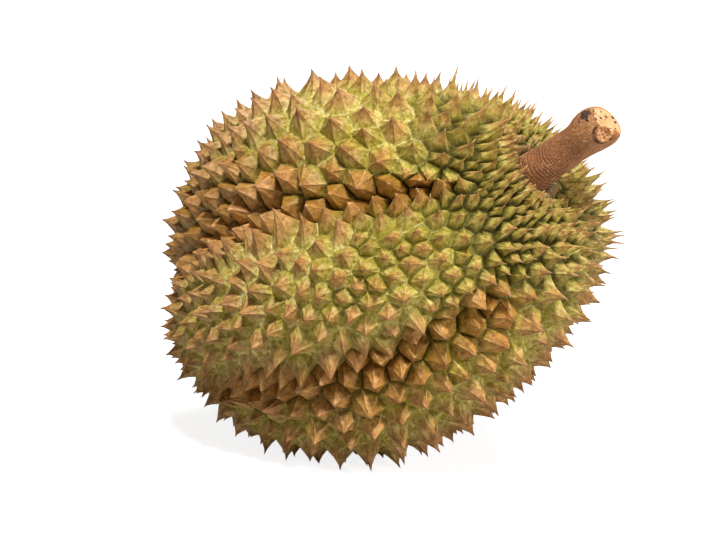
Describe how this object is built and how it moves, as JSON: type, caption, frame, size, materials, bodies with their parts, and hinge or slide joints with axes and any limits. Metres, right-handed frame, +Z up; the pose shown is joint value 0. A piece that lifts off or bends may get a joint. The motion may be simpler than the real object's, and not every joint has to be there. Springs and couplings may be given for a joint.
{
  "type": "durian",
  "caption": "Whole durian lying on its side: a blunt lobed husk covered in sharp woody thorns, with the short stub of its stalk.",
  "frame": {"origin": "centre of the footprint of the whole fruit, on the surface it rests on", "axes": "+X towards the stalk end of the fruit, +Z up. The fruit's own axis leans up from +X at its stalk end"},
  "size_m": [0.2496, 0.1908, 0.1939],
  "materials": {
    "husk": "matte olive-green rind, brown towards the thorn tips",
    "stem": "rough brown bark with a pale cut end"
  },
  "bodies": {
    "root": {"husk": "husk", "stem": "stem"}
  },
  "joints": []
}
